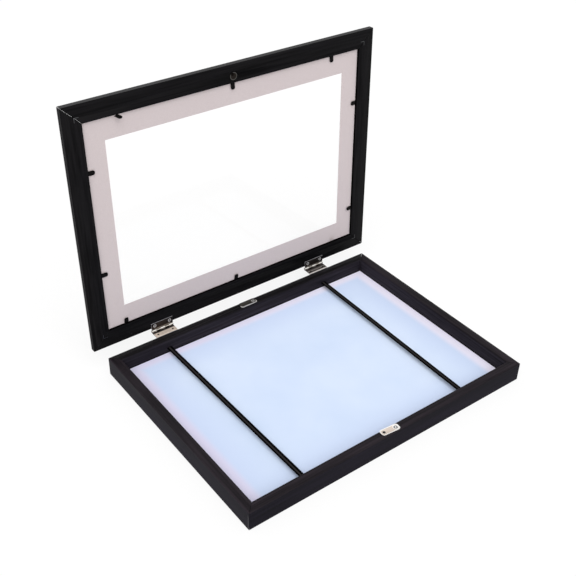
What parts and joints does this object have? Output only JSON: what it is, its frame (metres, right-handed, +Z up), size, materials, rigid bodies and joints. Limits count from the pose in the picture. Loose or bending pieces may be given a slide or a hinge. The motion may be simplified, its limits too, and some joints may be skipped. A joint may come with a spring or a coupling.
{
  "type": "front-opening picture frame",
  "caption": "Black wooden frame for children's art, lying open: a shallow tray with elastic straps for a stack of sheets, and a hinged door with a clear pane and a mat.",
  "frame": {"origin": "centre of the bounding box's base, with the tray lying on its back and the door open", "axes": "+X along the hinge side, +Y from the tray's front rail to its hinge side, +Z up, out of the tray"},
  "size_m": [0.3386, 0.2636, 0.2745],
  "materials": {
    "black_wood": "satin black lacquer over a fine open grain",
    "back_board": "smooth brown hardboard",
    "liner": "matt pale blue card with soft lilac edges",
    "mat": "matt pinkish grey board",
    "pane": "clear, glossy",
    "elastic": "flat woven elastic, black with a lighter middle",
    "nickel": "bright nickel plate",
    "magnet": "nickel plate, slightly dull",
    "plain_steel": "plain bright steel",
    "spring_steel": "black, half gloss"
  },
  "bodies": {
    "tray": {"back_panel": "back_board", "back_point_front_1": "plain_steel", "back_point_front_2": "plain_steel", "back_point_left_1": "plain_steel", "back_point_rear_1": "plain_steel", "back_point_rear_2": "plain_steel", "back_point_right_1": "plain_steel", "left_hinge_lower_leaf": "nickel", "left_hinge_pin": "nickel", "left_hinge_tray_screw_left": "nickel", "left_hinge_tray_screw_right": "nickel", "liner_card": "liner", "rest_plate": "nickel", "rest_plate_screw_left": "nickel", "rest_plate_screw_right": "nickel", "right_hinge_lower_leaf": "nickel", "right_hinge_pin": "nickel", "right_hinge_tray_screw_left": "nickel", "right_hinge_tray_screw_right": "nickel", "sawtooth_hanger_hinge_side": "plain_steel", "sawtooth_hanger_left_side": "plain_steel", "strap_left": "elastic", "strap_right": "elastic", "strike_plate": "nickel", "strike_plate_screw_left": "nickel", "strike_plate_screw_right": "nickel", "tray_rail_front": "black_wood", "tray_rail_left": "black_wood", "tray_rail_rear": "black_wood", "tray_rail_right": "black_wood"},
    "door": {"clear_pane": "pane", "corner_nail_free_left": "plain_steel", "corner_nail_free_right": "plain_steel", "corner_nail_hinge_left": "plain_steel", "corner_nail_hinge_right": "plain_steel", "door_rail_free": "black_wood", "door_rail_hinge": "black_wood", "door_rail_left": "black_wood", "door_rail_right": "black_wood", "left_hinge_door_screw_left": "nickel", "left_hinge_door_screw_right": "nickel", "left_hinge_upper_leaf": "nickel", "magnet_disc": "magnet", "magnet_screw": "nickel", "mat_board": "mat", "right_hinge_door_screw_left": "nickel", "right_hinge_door_screw_right": "nickel", "right_hinge_upper_leaf": "nickel"},
    "tab_free_1": {"tab_free_1": "spring_steel"},
    "tab_free_2": {"tab_free_2": "spring_steel"},
    "tab_free_3": {"tab_free_3": "spring_steel"},
    "tab_hinge_1": {"tab_hinge_1": "spring_steel"},
    "tab_hinge_2": {"tab_hinge_2": "spring_steel"},
    "tab_hinge_3": {"tab_hinge_3": "spring_steel"},
    "tab_left_1": {"tab_left_1": "spring_steel"},
    "tab_left_2": {"tab_left_2": "spring_steel"},
    "tab_right_1": {"tab_right_1": "spring_steel"},
    "tab_right_2": {"tab_right_2": "spring_steel"}
  },
  "joints": [
    {"name": "door_hinge", "type": "hinge", "parent": "tray", "child": "door", "pos_m": [0, 0.11523, 0.0209], "axis": [1, 0, 0], "range_deg": [0, 92]},
    {"name": "tab_free_1_bend", "type": "hinge", "parent": "door", "child": "tab_free_1", "pos_m": [-0.11961, 0.12525, 0.25624], "axis": [-1, 0, 0], "range_deg": [-76, 4]},
    {"name": "tab_free_2_bend", "type": "hinge", "parent": "door", "child": "tab_free_2", "pos_m": [0.00076, 0.12525, 0.25624], "axis": [-1, 0, 0], "range_deg": [-6, 74]},
    {"name": "tab_free_3_bend", "type": "hinge", "parent": "door", "child": "tab_free_3", "pos_m": [0.11733, 0.12525, 0.25624], "axis": [-1, 0, 0], "range_deg": [-4, 76]},
    {"name": "tab_hinge_1_bend", "type": "hinge", "parent": "door", "child": "tab_hinge_1", "pos_m": [-0.13172, 0.11779, 0.04237], "axis": [1, 0, 0], "range_deg": [-6, 74]},
    {"name": "tab_hinge_2_bend", "type": "hinge", "parent": "door", "child": "tab_hinge_2", "pos_m": [-0.00303, 0.11779, 0.04237], "axis": [1, 0, 0], "range_deg": [-8, 72]},
    {"name": "tab_hinge_3_bend", "type": "hinge", "parent": "door", "child": "tab_hinge_3", "pos_m": [0.12415, 0.11779, 0.04237], "axis": [1, 0, 0], "range_deg": [-48, 32]},
    {"name": "tab_left_1_bend", "type": "hinge", "parent": "door", "child": "tab_left_1", "pos_m": [-0.1511, 0.12362, 0.20936], "axis": [0, -0.0349, -0.9994], "range_deg": [-4, 76]},
    {"name": "tab_left_2_bend", "type": "hinge", "parent": "door", "child": "tab_left_2", "pos_m": [-0.1511, 0.11995, 0.10427], "axis": [0, -0.0349, -0.9994], "range_deg": [-4, 76]},
    {"name": "tab_right_1_bend", "type": "hinge", "parent": "door", "child": "tab_right_1", "pos_m": [0.1511, 0.12328, 0.19971], "axis": [0, 0.0349, 0.9994], "range_deg": [-5, 75]},
    {"name": "tab_right_2_bend", "type": "hinge", "parent": "door", "child": "tab_right_2", "pos_m": [0.1511, 0.11897, 0.07639], "axis": [0, 0.0349, 0.9994], "range_deg": [-5, 75]}
  ]
}
